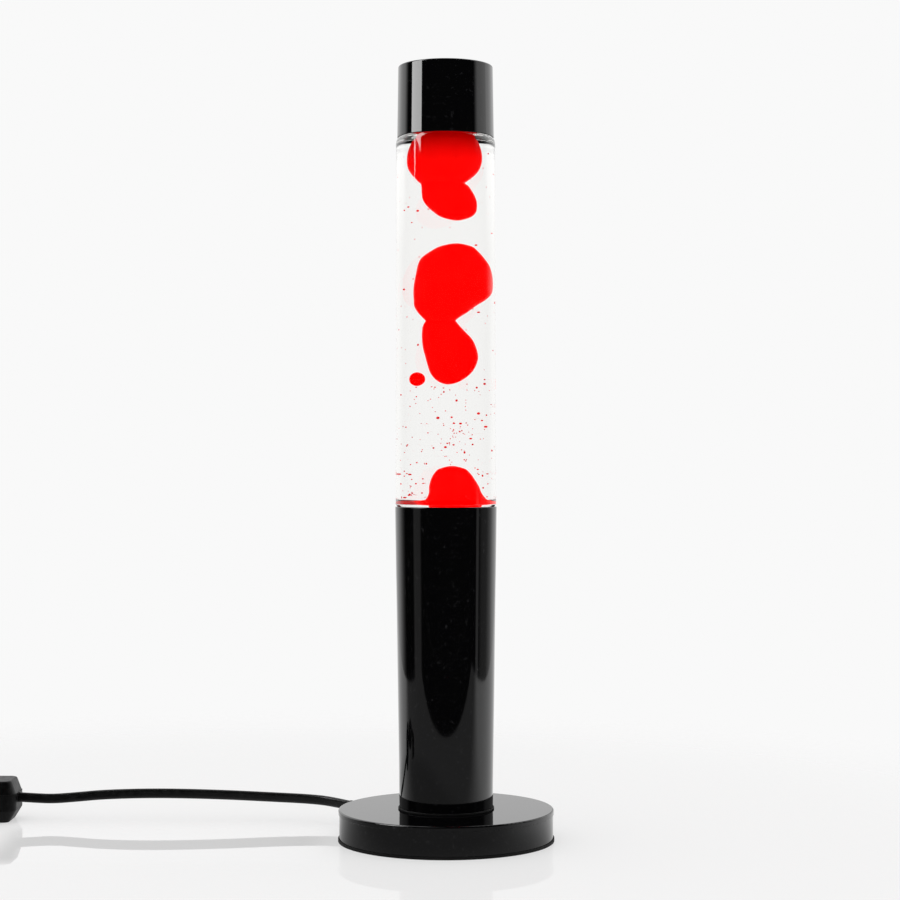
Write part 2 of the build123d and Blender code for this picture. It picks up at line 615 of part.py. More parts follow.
def switch_bottom_shell():
    """Lower half: boat-shaped floor, walls, screw posts, and the lead's two entries."""
    wall = SWITCH_WALL + 1.0
    shell = loft([switch_outline(KEEL_INSET, 0), switch_outline(0, KEEL_H)], ruled=True)
    shell = fillet(shell.faces().sort_by(Axis.Z)[0].edges(), 1.0)
    shell += extrude(switch_outline(0, KEEL_H), SWITCH_SPLIT_Z - KEEL_H)
    shell -= loft([switch_outline(KEEL_INSET + 1.6, 2.2), switch_outline(wall, KEEL_H + 0.8)], ruled=True)
    shell -= extrude(switch_outline(wall, KEEL_H + 0.8), SWITCH_SPLIT_Z)
    for dx, dy in SWITCH_SCREW_PLACES:
        at = (SWITCH_AT[0] + dx, SWITCH_AT[1] + dy)
        shell += disc(3.7, 2.0, SWITCH_SPLIT_Z, at)
        shell -= disc(SCREW_R + 0.2, -1, SWITCH_SPLIT_Z + 1, at)
        shell -= disc(SCREW_HEAD_R, -1, 2.4, at)
    entry = Pos(SWITCH_AT[0], SWITCH_AT[1], SWITCH_CORD_Z) * Rot(0, 90, 0) * Cylinder(2.65, SWITCH_L + 2)
    return shell - entry


def switch_top_shell():
    """Upper half with the rocker's window and its bearing cheeks."""
    height = SWITCH_TOP_Z - SWITCH_SPLIT_Z
    shell = extrude(switch_outline(0.3, SWITCH_SPLIT_Z), height, taper=SWITCH_TAPER)
    shell = fillet(shell.faces().sort_by(Axis.Z)[-1].edges(), 1.2)
    shell -= extrude(switch_outline(SWITCH_WALL + 1.0, SWITCH_SPLIT_Z - 1), height - 0.6,
                     taper=SWITCH_TAPER)
    x, y = SWITCH_AT
    window = Pos(x, y, SWITCH_TOP_Z) * Box(ROCKER_L + 3.8, ROCKER_W + 0.8, 12)
    shell -= window
    for side in (-1, 1):
        near, far = side * (ROCKER_W / 2 + 0.4), side * (ROCKER_W / 2 + 1.9)
        cheek = block((x - 4, y + min(near, far), ROCKER_PIVOT_Z - 2.4),
                      (x + 4, y + max(near, far), SWITCH_TOP_Z - 1.4))
        shell += cheek
    for dx, dy in SWITCH_SCREW_PLACES:
        at = (x + dx, y + dy)
        shell += disc(2.4, SWITCH_SPLIT_Z, SWITCH_TOP_Z - 1.6, at)
        shell -= disc(SCREW_R, SWITCH_SPLIT_Z - 1, SWITCH_TOP_Z - 3.0, at)
    bearing = Pos(x, y, ROCKER_PIVOT_Z) * Rot(90, 0, 0) * Cylinder(ROCKER_PIN_R + 0.05, ROCKER_W + 6)
    return shell - bearing


def switch_screws():
    """Two screws that join the switch's halves from below."""
    screws = []
    for dx, dy in SWITCH_SCREW_PLACES:
        screws.append(Pos(SWITCH_AT[0] + dx, SWITCH_AT[1] + dy, 2.4) * pan_screw(2.5, 1.5, SCREW_R, 14.6))
    return Compound(children=screws)


def switch_contacts():
    """Two fixed brass terminals and the blade between them."""
    x, y = SWITCH_AT
    pieces = []
    for side in (-1, 1):
        foot = block((x + side * 12 - 3, y - 2, 2.2), (x + side * 12 + 3, y + 2, 3.4))
        post = block((x + side * 12 - 0.5, y - 2, 3.4), (x + side * 12 + 0.5, y + 2, 9.0))
        pieces.append(foot + post)
    pieces.append(block((x - 8, y - 1.6, 10.0), (x + 8, y + 1.6, 10.6))
                  + block((x - 0.5, y - 1.6, 2.2), (x + 0.5, y + 1.6, 10.0)))
    return Compound(children=pieces)


def rocker_pose():
    """The rocker's rest frame: pressed to its on side."""
    return Pos(SWITCH_AT[0], SWITCH_AT[1], ROCKER_PIVOT_Z) * Rot(0, -ROCKER_TILT, 0)


def switch_rocker():
    """Two-sided rocker button."""
    half = ROCKER_L / 2
    side = Polyline((-half, 7.6), (0, 6.3), (half, 7.6), (half - 0.8, 1.0), (3.0, -2.5), (-3.0, -2.5),
                    (-half + 0.8, 1.0), close=True)
    body = extrude(Plane.XZ * make_face(side), ROCKER_W / 2, both=True)
    body -= Rot(90, 0, 0) * Cylinder(ROCKER_PIN_R, ROCKER_W + 2)
    return rocker_pose() * body


def rocker_pin():
    """Steel pin that the rocker turns on."""
    return rocker_pose() * Rot(90, 0, 0) * Cylinder(ROCKER_PIN_R, ROCKER_W + 3.4)


# ------------------------------------------------------------------ plug
def plug_body():
    """Flat two-pin plug body, waisted for the fingers, with its own short relief."""
    rear, face = PLUG_REAR_X, PLUG_FACE_X
    plan = Polyline((rear, -5.5), (rear + 9, -8.5), (face - 13, -13.0), (face - 3, -17.0), (face, -16.0),
                    (face, 16.0), (face - 3, 17.0), (face - 13, 13.0), (rear + 9, 8.5), (rear, 5.5),
                    close=True)
    body = extrude(Pos(0, PLUG_Y, 0) * make_face(plan), PLUG_T)
    body = fillet(body.faces().sort_by(Axis.Z)[0].edges() + body.faces().sort_by(Axis.Z)[-1].edges(), 1.6)
    relief = Pos(rear - PLUG_RELIEF_L, PLUG_Y, PLUG_T / 2) * Rot(0, 90, 0) * Cone(
        CORD_D / 2 + 0.5, 5.0, PLUG_RELIEF_L + 1.0, align=FLOOR_UP)
    body += relief
    for side in (-1, 1):
        socket = Pos(face - 6, PLUG_Y + side * PIN_SPACING / 2, PLUG_T / 2) * Rot(0, 90, 0)
        body -= socket * Cylinder(PIN_SLEEVE_R, 10, align=FLOOR_UP)
    return turned_about_coil(body)


def plug_pins():
    """Two sleeved brass pins, 19 mm apart."""
    pins = []
    for side in (-1, 1):
        place = Pos(PLUG_FACE_X - 6, PLUG_Y + side * PIN_SPACING / 2, PLUG_T / 2) * Rot(0, 90, 0)
        sleeve = Cylinder(PIN_SLEEVE_R, 6 + PIN_L - PIN_TIP_L, align=FLOOR_UP)
        tip = Pos(0, 0, 6 + PIN_L - PIN_TIP_L) * Cylinder(PIN_R, PIN_TIP_L, align=FLOOR_UP)
        tip = fillet(tip.edges().group_by(Axis.Z)[-1], 1.0)
        pins.append(turned_about_coil(place * (sleeve + tip)))
    return Compound(children=pins)


# ------------------------------------------------------------------ write every piece
PIECES = (
    base_pad, base_cover, base_plate, base_plate_screws, ballast_ring, cord_clamp, cord_clamp_screws,
    strain_relief, inner_cord, core_wires, tube_foot_ring, lower_tube, nipple, nipple_nuts, lock_washer,
    bottle_seat, holder_shell, holder_core, holder_thread_sleeve, holder_centre_contact,
    holder_terminal_screws, bulb_screw_cap, bulb_tip_insulator, bulb_contact, bulb_glass, bulb_stem,
    filament_supports, filament, glass_bottle, bottle_closure, closure_liner, heat_coil, wax_top,
    wax_middle, wax_bead, wax_pool, liquid, top_cap, cord_base_side, cord_switch_side, cord_plug_side,
    cord_coil, coil_tie, switch_bottom_shell, switch_top_shell, switch_screws, switch_contacts,
    switch_rocker, rocker_pin, plug_body, plug_pins)

for make_piece in PIECES:
    export_step(make_piece(), os.path.join("parts", make_piece.__name__ + ".step"))
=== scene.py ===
"""Looks of the small lava lamp: smooth shells, glass and liquid, wax, the flat twin lead and the studio."""

import math
import random

import bpy
from mathutils import Matrix, Vector, noise


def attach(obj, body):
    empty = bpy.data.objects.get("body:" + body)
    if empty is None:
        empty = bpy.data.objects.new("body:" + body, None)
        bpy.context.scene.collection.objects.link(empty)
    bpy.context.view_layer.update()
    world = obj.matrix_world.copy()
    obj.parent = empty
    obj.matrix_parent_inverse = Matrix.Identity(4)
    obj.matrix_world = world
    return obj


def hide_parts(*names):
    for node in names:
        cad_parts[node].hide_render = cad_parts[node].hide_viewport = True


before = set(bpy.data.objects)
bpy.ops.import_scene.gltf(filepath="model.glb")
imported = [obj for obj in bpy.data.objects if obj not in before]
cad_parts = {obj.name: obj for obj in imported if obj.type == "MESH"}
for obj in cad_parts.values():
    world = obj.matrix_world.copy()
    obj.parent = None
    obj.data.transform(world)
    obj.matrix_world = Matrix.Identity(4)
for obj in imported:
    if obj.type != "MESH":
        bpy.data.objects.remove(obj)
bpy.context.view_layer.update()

MM = 0.001


def linked(name, data):
    """New object of some data, put in the scene."""
    made = bpy.data.objects.new(name, data)
    bpy.context.collection.objects.link(made)
    return made


# ------------------------------------------------------------------ camera
CAMERA_DISTANCE, CAMERA_HEIGHT = 1.064, 0.193
CAMERA_LENS, CAMERA_SENSOR = 83.2, 36
CAMERA_PITCH_UP, CAMERA_ROLL, CAMERA_TURN_RIGHT = 0.33, 0.057, 0.114     # degrees
CAMERA_NEAREST, CAMERA_FARTHEST = 0.05, 30


def make_camera():
    """Level camera in front of the lamp, a little under half its height."""
    data = bpy.data.cameras.new("camera")
    data.lens = CAMERA_LENS
    data.sensor_width = CAMERA_SENSOR
    data.clip_start, data.clip_end = CAMERA_NEAREST, CAMERA_FARTHEST
    camera = linked("camera", data)
    camera.location = (0, -CAMERA_DISTANCE, CAMERA_HEIGHT)
    camera.rotation_euler = (math.radians(90 + CAMERA_PITCH_UP), math.radians(CAMERA_ROLL),
                             math.radians(-CAMERA_TURN_RIGHT))
    bpy.context.scene.camera = camera


make_camera()


# ------------------------------------------------------------------ mesh helpers
ROUND_STEPS = 8          # faces along a rounded edge
SHELL_AROUND = 192       # faces round a turned shell
GLASS_AROUND = 256       # faces round the bottle and the liquid
ON_AXIS = 1e-6


def rounded(outline):
    """Outline of (radius, height, rounding) corners in mm, with each rounded corner turned to an arc."""
    points = []
    count = len(outline)
    for i, (r, z, rounding) in enumerate(outline):
        corner = Vector((r, z))
        if rounding == 0:
            points.append(corner)
            continue
        before = (Vector(outline[i - 1][:2]) - corner).normalized()
        after = (Vector(outline[(i + 1) % count][:2]) - corner).normalized()
        half = before.angle(after) / 2
        centre = corner + (before + after).normalized() * rounding / math.sin(half)
        start = corner + before * rounding / math.tan(half) - centre
        end = corner + after * rounding / math.tan(half) - centre
        first = math.atan2(start.y, start.x)
        turn = math.atan2(end.y, end.x) - first
        turn = (turn + math.pi) % (2 * math.pi) - math.pi
        for step in range(ROUND_STEPS + 1):
            angle = first + turn * step / ROUND_STEPS
            points.append(centre + Vector((math.cos(angle), math.sin(angle))) * rounding)
    return points


def new_object(name, vertices, faces, weighted=True):
    """Smooth mesh object from vertices in mm."""
    mesh = bpy.data.meshes.new(name)
    mesh.from_pydata([Vector(v) * MM for v in vertices], [], faces)
    mesh.validate()
    mesh.shade_smooth()
    piece = linked(name, mesh)
    if weighted:
        piece.modifiers.new("normals", "WEIGHTED_NORMAL")
    return piece


def round_angles(count):
    """Evenly spaced angles of one full turn."""
    return [2 * math.pi * k / count for k in range(count)]


def add_ring(vertices, rings, points):
    """Adds a ring of points, or a tip of one point."""
    rings.append([len(vertices) + k for k in range(len(points))])
    vertices.extend(points)


def ring_faces(rings):
    """Faces between each ring of vertices and the next, where a ring of one vertex is a tip."""
    faces = []
    for low, high in zip(rings, rings[1:]):
        around = max(len(low), len(high))
        for k in range(around):
            following = (k + 1) % around
            if len(low) == 1:
                faces.append((low[0], high[following], high[k]))
            elif len(high) == 1:
                faces.append((low[k], low[following], high[0]))
            else:
                faces.append((low[k], low[following], high[following], high[k]))
    return faces


def lathe(name, outline, closed, around=SHELL_AROUND):
    """Turned piece. A closed outline makes a ring; an open one starts and ends on the axis."""
    vertices, rings = [], []
    angles = round_angles(around)
    for r, z in rounded(outline):
        add_ring(vertices, rings, [(0, 0, z)] if r < ON_AXIS else
                 [(r * math.cos(angle), r * math.sin(angle), z) for angle in angles])
    if closed:
        rings.append(rings[0])
    return new_object(name, vertices, ring_faces(rings))


def through(points, steps):
    """Smooth chain (Catmull-Rom) through points of any size, ends included."""
    padded = [points[0]] + list(points) + [points[-1]]
    chain = []
    for a, b, c, d in zip(padded, padded[1:], padded[2:], padded[3:]):
        for step in range(steps):
            t = step / steps
            chain.append((b * 2 + (c - a) * t + (a * 2 - b * 5 + c * 4 - d) * t * t
                          + (b * 3 - a - c * 3 + d) * t * t * t) / 2)
    chain.append(points[-1])
    return chain


# ------------------------------------------------------------------ shader helpers
PATCH_SCALE = 0.12       # scale of a surface's patches of colour, to that of its grain
PATCH_DETAIL, GRAIN_DETAIL = 6.0, 3.0


def new_material(name):
    """Node material with its Principled shader."""
    made = bpy.data.materials.new(name)
    made.use_nodes = True
    return made, made.node_tree, made.node_tree.nodes["Principled BSDF"]


def empty_material(name):
    """Node material with only an output."""
    made = bpy.data.materials.new(name)
    made.use_nodes = True
    made.node_tree.nodes.clear()
    return made, made.node_tree, made.node_tree.nodes.new("ShaderNodeOutputMaterial")


def add_node(tree, kind, **inputs):
    """New node with some of its inputs set by name; double underscores stand for spaces."""
    node = tree.nodes.new(kind)
    for key, value in inputs.items():
        node.inputs[key.replace("__", " ")].default_value = value
    return node


def coordinates(tree, source="Object"):
    """X, Y and Z of a point in object space, or of a direction in the world when the source is Generated."""
    place = tree.nodes.new("ShaderNodeTexCoord")
    split = tree.nodes.new("ShaderNodeSeparateXYZ")
    tree.links.new(place.outputs[source], split.inputs["Vector"])
    return split.outputs["X"], split.outputs["Y"], split.outputs["Z"]


def noise_value(tree, scale, detail):
    """Noise in object space, from about 0.3 to 0.7."""
    place = tree.nodes.new("ShaderNodeTexCoord")
    texture = add_node(tree, "ShaderNodeTexNoise", Scale=scale, Detail=detail)
    tree.links.new(place.outputs["Object"], texture.inputs["Vector"])
    return texture.outputs["Fac"]


def calculate(tree, operation, first, second=0.0):
    """Arithmetic of two values or sockets."""
    node = tree.nodes.new("ShaderNodeMath")
    node.operation = operation
    for socket, value in zip(node.inputs, (first, second)):
        if isinstance(value, (int, float)):
            socket.default_value = value
        else:
            tree.links.new(value, socket)
    return node.outputs[0]


def inverted(tree, value):
    """One less a value."""
    return calculate(tree, "SUBTRACT", 1.0, value)


def spread(tree, value, low, high, source_low=0.3, source_high=0.7):
    """Straight map of a value's range to another range."""
    node = add_node(tree, "ShaderNodeMapRange", From__Min=source_low, From__Max=source_high,
                    To__Min=low, To__Max=high)
    tree.links.new(value, node.inputs["Value"])
    return node.outputs["Result"]


def ramp(tree, value, start, end, low=0.0, high=1.0):
    """Smooth change from low to high as the value goes from start to end."""
    node = add_node(tree, "ShaderNodeMapRange", From__Min=start, From__Max=end, To__Min=low, To__Max=high)
    node.interpolation_type = "SMOOTHSTEP"
    tree.links.new(value, node.inputs["Value"])
    return node.outputs["Result"]


def band(tree, value, edges, height=1.0):
    """Smooth rise from zero to a height between the first two edges, and fall between the last two."""
    start, full, fall, end = edges
    return calculate(tree, "MULTIPLY", ramp(tree, value, start, full, 0.0, height),
                     ramp(tree, value, fall, end, 1.0, 0.0))


def blend_colours(tree, factor, first, second):
    """Mix of two colours by a factor."""
    node = tree.nodes.new("ShaderNodeMix")
    node.data_type = "RGBA"
    node.inputs["A"].default_value = (*first, 1)
    node.inputs["B"].default_value = (*second, 1)
    tree.links.new(factor, node.inputs["Factor"])
    return node.outputs["Result"]


def blend_shaders(tree, factor, first, second):
    """Mix of two shaders by a factor."""
    node = tree.nodes.new("ShaderNodeMixShader")
    tree.links.new(factor, node.inputs["Fac"])
    tree.links.new(first.outputs[0], node.inputs[1])
    tree.links.new(second.outputs[0], node.inputs[2])
    return node


def bump(tree, shader, height, distance):
    """Bump of a height value, in metres, on a shader."""
    node = add_node(tree, "ShaderNodeBump", Strength=1.0, Distance=distance)
    tree.links.new(height, node.inputs["Height"])
    tree.links.new(node.outputs["Normal"], shader.inputs["Normal"])


def surface(name, dark, light, rough, grain=900, relief=0.00002, metallic=0.0, ior=1.5):
    """Opaque material: two close colours over noise, a roughness range, and a fine relief."""
    made, tree, shader = new_material(name)
    patches = noise_value(tree, grain * PATCH_SCALE, PATCH_DETAIL)
    grains = noise_value(tree, grain, GRAIN_DETAIL)
    tree.links.new(blend_colours(tree, spread(tree, patches, 0, 1), dark, light),
                   shader.inputs["Base Color"])
    tree.links.new(spread(tree, patches, *rough), shader.inputs["Roughness"])
    bump(tree, shader, grains, relief)
    shader.inputs["Metallic"].default_value = metallic
    shader.inputs["IOR"].default_value = ior
    return made


def paint(piece, made):
    """Gives a piece or a CAD node one material."""
    data = (bpy.data.objects[piece] if isinstance(piece, str) else piece).data
    data.materials.clear()
    data.materials.append(made)
    return piece


# ------------------------------------------------------------------ materials
BLACK_IOR, GLASS_IOR, LIQUID_IOR, WAX_IOR = 1.5, 1.5, 1.35, 1.06

GLOSS_BLACK, GLOSS_DUST = (0.0016, 0.0016, 0.0018), (0.02, 0.02, 0.021)
DUST_RANGE = (0.62, 0.8)              # part of the noise that shows as dust
HAZE_SCALE = 30
ORANGE_PEEL_SCALE, ORANGE_PEEL_RELIEF = 160, 0.000006
VEIL_SCALE, VEIL_LIGHTER = 40, 1.004

# The wax's glow is painted light, as the wax is no lamp; its deep red glow is painted shade
WAX_RED, WAX_RED_DARKER, WAX_PAINTED_GLOW, WAX_PAINTED_SHADE_GLOW = (0.62, 0, 0), (0.56, 0, 0), (1, 0, 0), (0.10, 0, 0)
WAX_MOTTLE_SCALE, WAX_ROUGH = 90, (0.18, 0.3)
WAX_NECK_SHADE_Z = (0.336, 0.361)           # painted shade towards the cap: deeper red glow from the one height to the other
WAX_FILM_SHADE_Z, WAX_FILM_SHADE_X = (0.1706, 0.1722), (-0.013, -0.009)      # painted shade: deep red glow below and to the left of these
STRAY_RED, STRAY_RED_LIGHTER, STRAY_PAINTED_GLOW = (0.42, 0, 0.01), (0.75, 0.02, 0.01), (0.30, 0, 0.004)
STRAY_MOTTLE_SCALE, STRAY_ROUGH = 70, (0.2, 0.4)


def glossy_black(name, grain, rough):
    """Deep black gloss with faint dust and a very slight orange peel."""
    made, tree, shader = new_material(name)
    dust = noise_value(tree, grain, 8.0)
    haze = noise_value(tree, HAZE_SCALE, 3.0)
    tree.links.new(blend_colours(tree, spread(tree, dust, 0, 1, *DUST_RANGE), GLOSS_BLACK, GLOSS_DUST),
                   shader.inputs["Base Color"])
    tree.links.new(spread(tree, haze, *rough), shader.inputs["Roughness"])
    bump(tree, shader, noise_value(tree, ORANGE_PEEL_SCALE, 2.0), ORANGE_PEEL_RELIEF)
    shader.inputs["IOR"].default_value = BLACK_IOR
    return made


def clear_body(name, ior, tint, shadow_tint):
    """Refracting clear surface that lets light through to what it holds."""
    made, tree, shader = new_material(name)
    shader.inputs["Base Color"].default_value = (*tint, 1)
    shader.inputs["Roughness"].default_value = 0.0
    shader.inputs["IOR"].default_value = ior
    shader.inputs["Transmission Weight"].default_value = 1.0
    path = tree.nodes.new("ShaderNodeLightPath")
    clear = add_node(tree, "ShaderNodeBsdfTransparent", Color=(*shadow_tint, 1))
    mix = blend_shaders(tree, path.outputs["Is Shadow Ray"], shader, clear)
    tree.links.new(mix.outputs[0], tree.nodes["Material Output"].inputs["Surface"])
    return made


def tinted_veil(name, tint):
    """Skin of the liquid where it wets the glass: the glass's inner face does the bending there."""
    made, tree, output = empty_material(name)
    veil = tree.nodes.new("ShaderNodeBsdfTransparent")
    lighter = [min(1, channel * VEIL_LIGHTER) for channel in tint]
    tree.links.new(blend_colours(tree, noise_value(tree, VEIL_SCALE, 3.0), tint, lighter),
                   veil.inputs["Color"])
    tree.links.new(veil.outputs[0], output.inputs["Surface"])
    return made


def red_wax():
    """Saturated molten wax with a painted glow, turned deep red by painted shade under the neck and in the
    thin film at the left.
    """
    made, tree, shader = new_material("red_wax")
    x, _, z = coordinates(tree)
    # painted shade: the glow turns deep red in the film low at the left and under the neck
    film = calculate(tree, "MULTIPLY", spread(tree, z, 1, 0, *WAX_FILM_SHADE_Z),
                     spread(tree, x, 1, 0, *WAX_FILM_SHADE_X))
    deep = calculate(tree, "MAXIMUM", film, spread(tree, z, 0, 1, *WAX_NECK_SHADE_Z))
    tree.links.new(blend_colours(tree, deep, WAX_PAINTED_GLOW, WAX_PAINTED_SHADE_GLOW), shader.inputs["Emission Color"])
    shader.inputs["Emission Strength"].default_value = 1.0
    mottle = noise_value(tree, WAX_MOTTLE_SCALE, 3.0)
    tree.links.new(blend_colours(tree, spread(tree, mottle, 0, 1), WAX_RED, WAX_RED_DARKER),
                   shader.inputs["Base Color"])
    tree.links.new(spread(tree, mottle, *WAX_ROUGH), shader.inputs["Roughness"])
    shader.inputs["IOR"].default_value = WAX_IOR
    shader.inputs["Specular IOR Level"].default_value = 0.1
    return made


def stray_wax():
    """Tiny stray droplets: small enough to look darker than the large bodies, with a faint painted glow."""
    made, tree, shader = new_material("stray_wax")
    mottle = noise_value(tree, STRAY_MOTTLE_SCALE, 2.0)
    tree.links.new(blend_colours(tree, spread(tree, mottle, 0, 1), STRAY_RED, STRAY_RED_LIGHTER),
                   shader.inputs["Base Color"])
    tree.links.new(spread(tree, mottle, *STRAY_ROUGH), shader.inputs["Roughness"])
    shader.inputs["IOR"].default_value = WAX_IOR
    # painted glow: the droplets give off faint red light, though they are no lamp
    shader.inputs["Emission Color"].default_value = (*STRAY_PAINTED_GLOW, 1)
    shader.inputs["Emission Strength"].default_value = 1.0
    return made


BLACK_MOULDED = glossy_black("black_moulded", 420, (0.03, 0.06))
BLACK_LACQUER = glossy_black("black_lacquer", 500, (0.03, 0.055))
RUBBER = surface("rubber", (0.002, 0.002, 0.002), (0.005, 0.005, 0.005), (0.75, 0.9), 1600, 0.00004)
MATTE_BLACK = surface("matte_black", (0.012, 0.012, 0.013), (0.02, 0.02, 0.021), (0.4, 0.55), 2400)
ZINC = surface("zinc_steel", (0.52, 0.53, 0.56), (0.66, 0.67, 0.69), (0.22, 0.38), 1500, metallic=1.0)
SHEET = surface("sheet_steel", (0.03, 0.03, 0.033), (0.045, 0.045, 0.05), (0.35, 0.5), 2600, 0.00005)
CAST = surface("cast_weight", (0.07, 0.065, 0.06), (0.13, 0.12, 0.11), (0.6, 0.8), 700, 0.0002, 0.6)
BRASS = surface("brass", (0.68, 0.46, 0.16), (0.82, 0.60, 0.26), (0.18, 0.34), 1200, metallic=1.0)
CERAMIC = surface("white_insulator", (0.78, 0.75, 0.70), (0.86, 0.84, 0.79), (0.35, 0.5), 1800)
NICKEL = surface("cap_nickel", (0.62, 0.60, 0.57), (0.74, 0.72, 0.69), (0.12, 0.25), 1400, metallic=1.0)
BLACK_GLASS = surface("black_glass", (0.006, 0.006, 0.01), (0.012, 0.012, 0.016), (0.05, 0.1), 900)
TUNGSTEN = surface("tungsten", (0.25, 0.24, 0.23), (0.38, 0.37, 0.36), (0.3, 0.45), 3000, metallic=1.0)
PVC = surface("cord_pvc", (0.003, 0.003, 0.003), (0.007, 0.007, 0.007), (0.28, 0.42), 2600, 0.00003,
              ior=1.36)
STRAP = surface("tie_strap", (0.01, 0.01, 0.01), (0.03, 0.03, 0.03), (0.8, 0.95), 3800, 0.0003)
SWITCH = surface("switch_plastic", (0.002, 0.002, 0.002), (0.005, 0.005, 0.005), (0.34, 0.46), 3000, 0.00003,
                 ior=1.25)
ROCKER = surface("rocker_plastic", (0.004, 0.004, 0.005), (0.007, 0.007, 0.008), (0.14, 0.22), 1800)
CORES = surface("core_insulation", (0.16, 0.07, 0.03), (0.22, 0.10, 0.05), (0.3, 0.45), 2000)
LINER = surface("closure_liner", (0.74, 0.74, 0.71), (0.82, 0.82, 0.80), (0.6, 0.75), 2500, 0.0001)
TINPLATE = surface("closure_tinplate", (0.50, 0.50, 0.51), (0.60, 0.60, 0.61), (0.2, 0.3), 1500,
                   metallic=1.0)
GLASS = clear_body("clear_glass", GLASS_IOR, (1.0, 1.0, 1.0), (0.98, 0.98, 0.98))
WET_GLASS = clear_body("wet_glass", GLASS_IOR / LIQUID_IOR, (1.0, 1.0, 1.0), (0.99, 0.99, 0.99))
LIQUID_TOP = clear_body("clear_liquid", LIQUID_IOR, (1.0, 1.0, 1.0), (0.99, 0.99, 0.99))
LIQUID_SIDE = tinted_veil("liquid_side", (0.992, 0.991, 0.984))
BULB_GLASS = clear_body("bulb_glass", 1.45, (0.95, 0.95, 0.95), (0.9, 0.9, 0.9))
WAX = red_wax()
STRAY_WAX = stray_wax()

NODE_MATERIALS = {
    RUBBER: ["base_pad", "strain_relief"],
    MATTE_BLACK: ["cord_clamp", "bottle_seat", "holder_shell"],
    BLACK_MOULDED: ["base_cover"],
    ZINC: ["base_plate_screws", "cord_clamp_screws", "nipple", "nipple_nuts", "lock_washer",
           "switch_screws", "heat_coil", "rocker_pin", "bulb_contact"],
    SHEET: ["base_plate"],
    CAST: ["ballast_ring"],
    BRASS: ["holder_thread_sleeve", "holder_centre_contact", "holder_terminal_screws", "switch_contacts"],
    CERAMIC: ["holder_core"],
    NICKEL: ["bulb_screw_cap", "plug_pins"],
    BLACK_GLASS: ["bulb_tip_insulator"],
    TUNGSTEN: ["filament", "filament_supports"],
    PVC: ["inner_cord"],
    STRAP: ["coil_tie"],
    SWITCH: ["switch_bottom_shell", "switch_top_shell", "plug_body"],
    ROCKER: ["switch_rocker"],
    CORES: ["core_wires"],
    LINER: ["closure_liner"],
    TINPLATE: ["bottle_closure"],
    BULB_GLASS: ["bulb_glass", "bulb_stem"],
}
for node_material, node_names in NODE_MATERIALS.items():
    for node_name in node_names:
        paint(node_name, node_material)


# ------------------------------------------------------------------ mains lead
CORD_WIDTH = 0.0052
CORD_THICKNESS = 0.0033
COIL_CENTRE = Vector((-0.3560, 0.0273))
COIL_TURNS_DOWN, COIL_TURNS_UP = 3.5, 2.9375
COIL_OUTER_R, COIL_INNER_R, COIL_PITCH = 0.0345, 0.0215, 0.0037
COIL_LOW_Z, COIL_HIGH_Z = 0.00265, 0.00795
COIL_START = math.radians(90)
COIL_CLIMB = 0.4         # part of a turn in which the lead climbs on top
COIL_POINTS_PER_TURN = 16
SECTION_POINTS = 32
SECTION_WAIST = 0.10     # how much the section narrows between its two cores
SECTION_FLAT = 3         # the higher, the shorter the flat between them
SWITCH_TWIST = 20        # degrees that the lead has turned where it enters the switch

CORD_BASE_SIDE_ROUTE = [
    (-0.0510, 0.0459, 0.0098), (-0.0610, 0.0549, 0.0106), (-0.0732, 0.0593, 0.0113),
    (-0.0920, 0.0610, 0.0120), (-0.1220, 0.0618, 0.0134), (-0.1560, 0.0620, 0.0142),
    (-0.1840, 0.0616, 0.0136), (-0.2000, 0.0613, 0.0122), (-0.2120, 0.0611, 0.0113),
    (-0.2215, 0.0610, 0.0117), (-0.2305, 0.0610, 0.0123)]

CORD_SWITCH_SIDE_ROUTE = [
    (-0.2925, 0.0610, 0.0123), (-0.3040, 0.0612, 0.0117), (-0.3160, 0.0616, 0.0088),
    (-0.3290, 0.0620, 0.0046), (-0.3420, 0.0620, 0.00275)]

CORD_PLUG_SIDE_ROUTE = [
    (-0.3531, -0.0086, 0.0079), (-0.3417, -0.0125, 0.0072), (-0.3316, -0.0159, 0.00685)]


def coil_route():
    """Turns of the put-away lead: inwards on the table, then outwards on top of them."""
    count = round((COIL_TURNS_DOWN + COIL_TURNS_UP) * COIL_POINTS_PER_TURN)
    points = []
    for k in range(1, count + 1):
        turn = k / COIL_POINTS_PER_TURN
        if turn <= COIL_TURNS_DOWN:
            radius = COIL_OUTER_R - COIL_PITCH * turn
        else:
            radius = COIL_INNER_R + COIL_PITCH * (turn - COIL_TURNS_DOWN)
        climb = min(1.0, max(0.0, (turn - COIL_TURNS_DOWN + COIL_CLIMB / 2) / COIL_CLIMB))
        climb = climb * climb * (3 - 2 * climb)
        angle = COIL_START + 2 * math.pi * turn
        points.append((COIL_CENTRE.x + radius * math.cos(angle), COIL_CENTRE.y + radius * math.sin(angle),
                       COIL_LOW_Z + (COIL_HIGH_Z - COIL_LOW_Z) * climb))
    return points


def nurbs_curve(name, points):
    """Open NURBS curve with the route's points as its control points."""
    data = bpy.data.curves.new(name, "CURVE")
    data.dimensions = "3D"
    data.resolution_u = 10
    data.twist_mode = "Z_UP"
    spline = data.splines.new("NURBS")
    spline.points.add(len(points) - 1)
    for point, place in zip(spline.points, points):
        point.co = (*place, 1)
    spline.order_u = 3
    spline.use_endpoint_u = True
    return linked(name, data)


